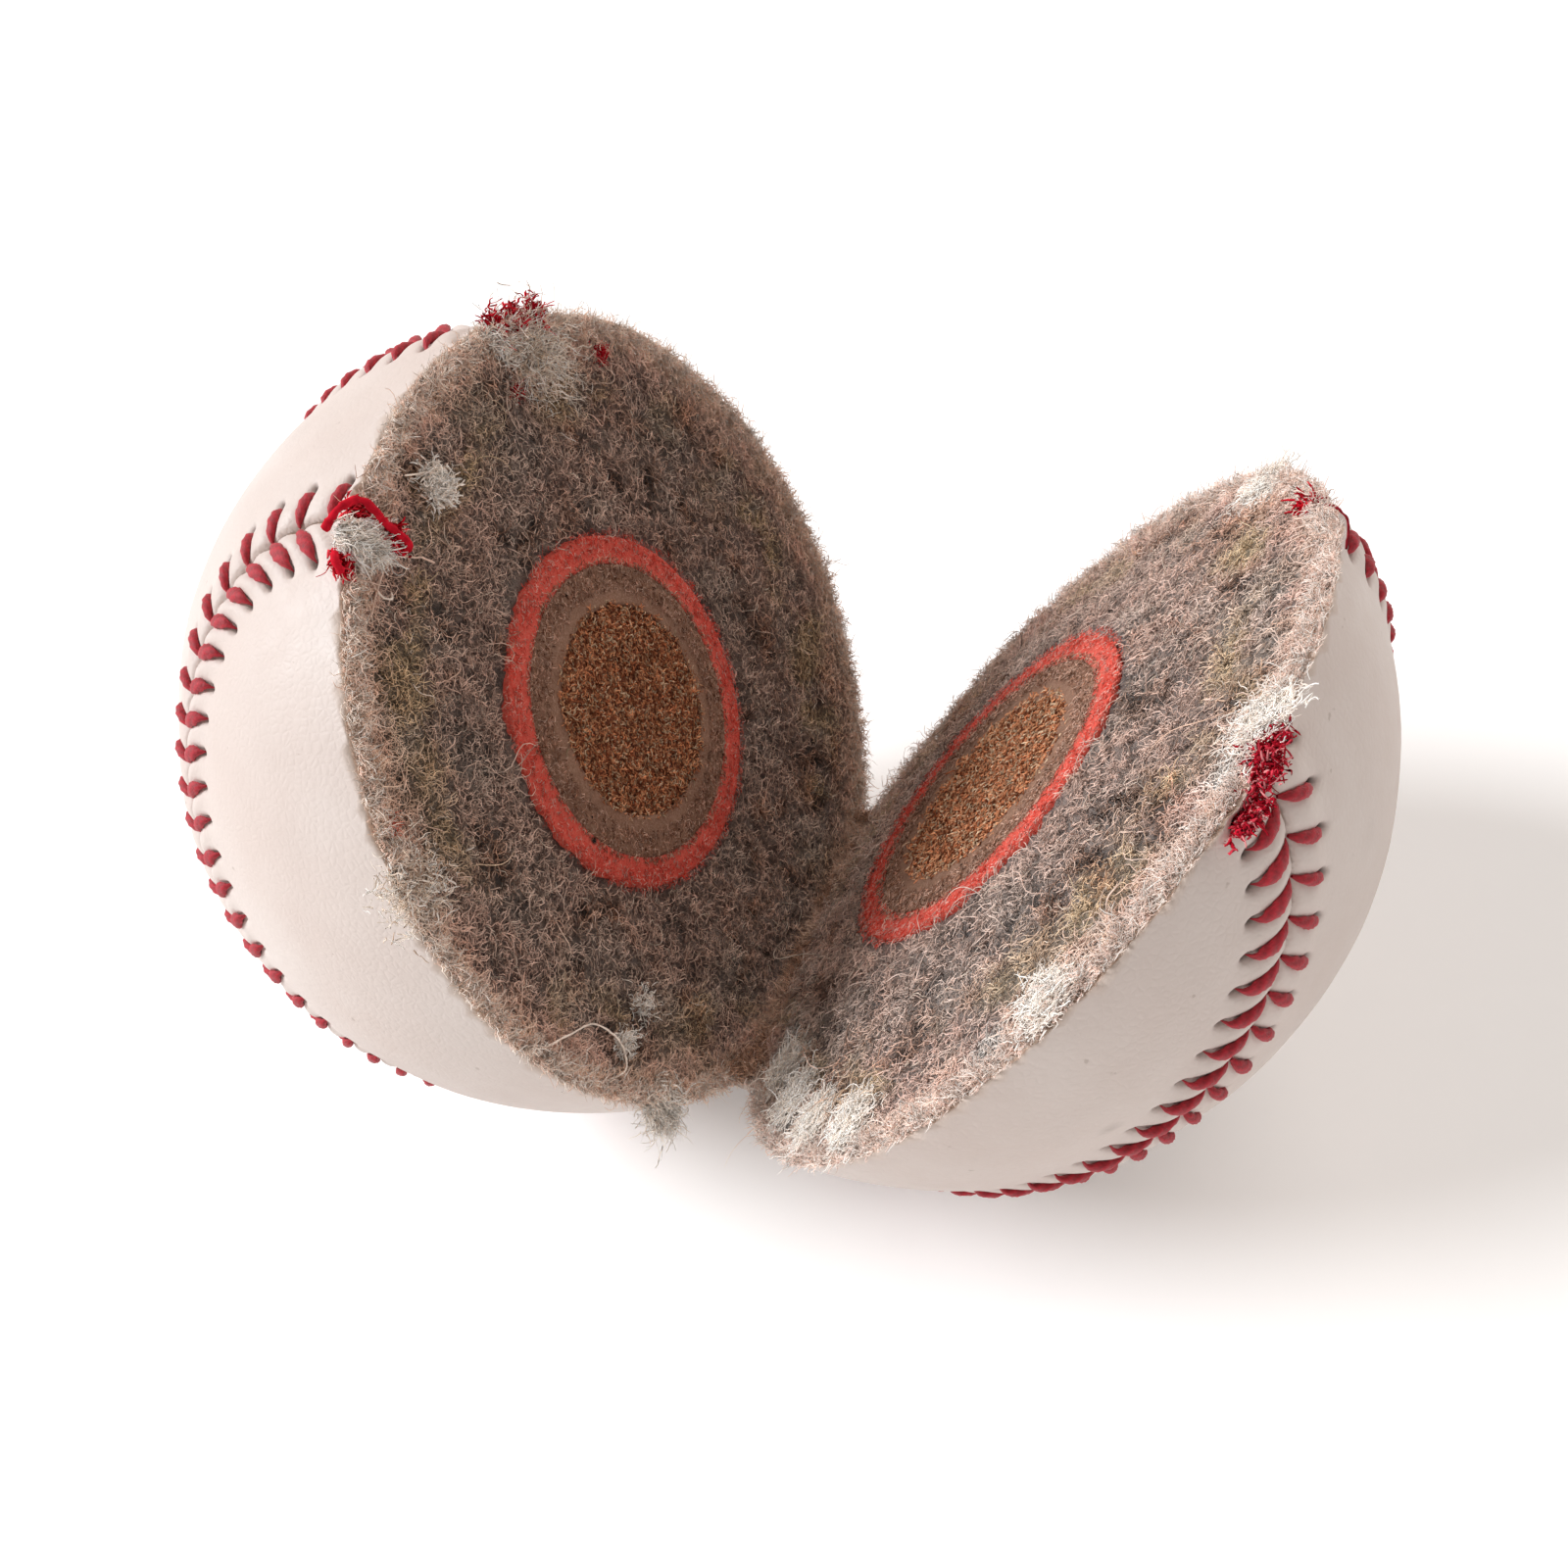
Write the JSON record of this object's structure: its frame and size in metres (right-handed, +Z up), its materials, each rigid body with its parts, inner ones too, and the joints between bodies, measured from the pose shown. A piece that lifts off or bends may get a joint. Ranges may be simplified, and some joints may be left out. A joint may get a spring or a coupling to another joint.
{
  "type": "baseball",
  "caption": "Leather-covered ball sawn almost through and hinged open on its uncut strip, showing a cork and rubber pill, wool windings and a stitched figure-eight cover.",
  "frame": {"origin": "On the surface that the ball lies on, midway between the far ends of the two halves and midway along the hinge line.", "axes": "+X from the left half to the right half, +Y away from the viewer along the hinge line, +Z up."},
  "size_m": [0.1078, 0.074, 0.0744],
  "materials": {
    "leather": "smooth white tanned leather with a faint grain",
    "stitch_thread": "waxed red cotton thread, lightly twisted",
    "cork": "moulded cork and rubber grains, sawn",
    "grey_rubber": "sawn grey-brown rubber",
    "red_rubber": "sawn dull red rubber",
    "grey_wool": "sawn wound wool yarn, matted",
    "white_wool": "sawn wound wool yarn, matted",
    "outer_wool": "sawn wound wool yarn, matted",
    "finishing_yarn": "sawn cotton and polyester yarn, frayed"
  },
  "bodies": {
    "left_half": {"left_cork_core": "cork", "left_grey_rubber_shell": "grey_rubber", "left_red_rubber_shell": "red_rubber", "left_grey_wool_winding": "grey_wool", "left_white_wool_winding": "white_wool", "left_outer_wool_winding": "outer_wool", "left_finishing_yarn": "finishing_yarn", "left_cover_lobe": "leather", "left_cover_wrap": "leather", "left_lobe_stitches": "stitch_thread", "left_wrap_stitches": "stitch_thread", "leather_hinge": "leather", "yarn_bridge": "finishing_yarn"},
    "right_half": {"right_cork_core": "cork", "right_grey_rubber_shell": "grey_rubber", "right_red_rubber_shell": "red_rubber", "right_grey_wool_winding": "grey_wool", "right_white_wool_winding": "white_wool", "right_outer_wool_winding": "outer_wool", "right_finishing_yarn": "finishing_yarn", "right_cover_lobe": "leather", "right_cover_front": "leather", "right_cover_back": "leather", "right_lobe_stitches": "stitch_thread", "right_wrap_stitches": "stitch_thread"}
  },
  "joints": [
    {"name": "cut_hinge", "type": "hinge", "parent": "left_half", "child": "right_half", "pos_m": [-0.00043, 0, 0.00915], "axis": [0, 1, 0], "range_deg": [-62, 12], "deforming": ["leather_hinge", "yarn_bridge"]}
  ]
}
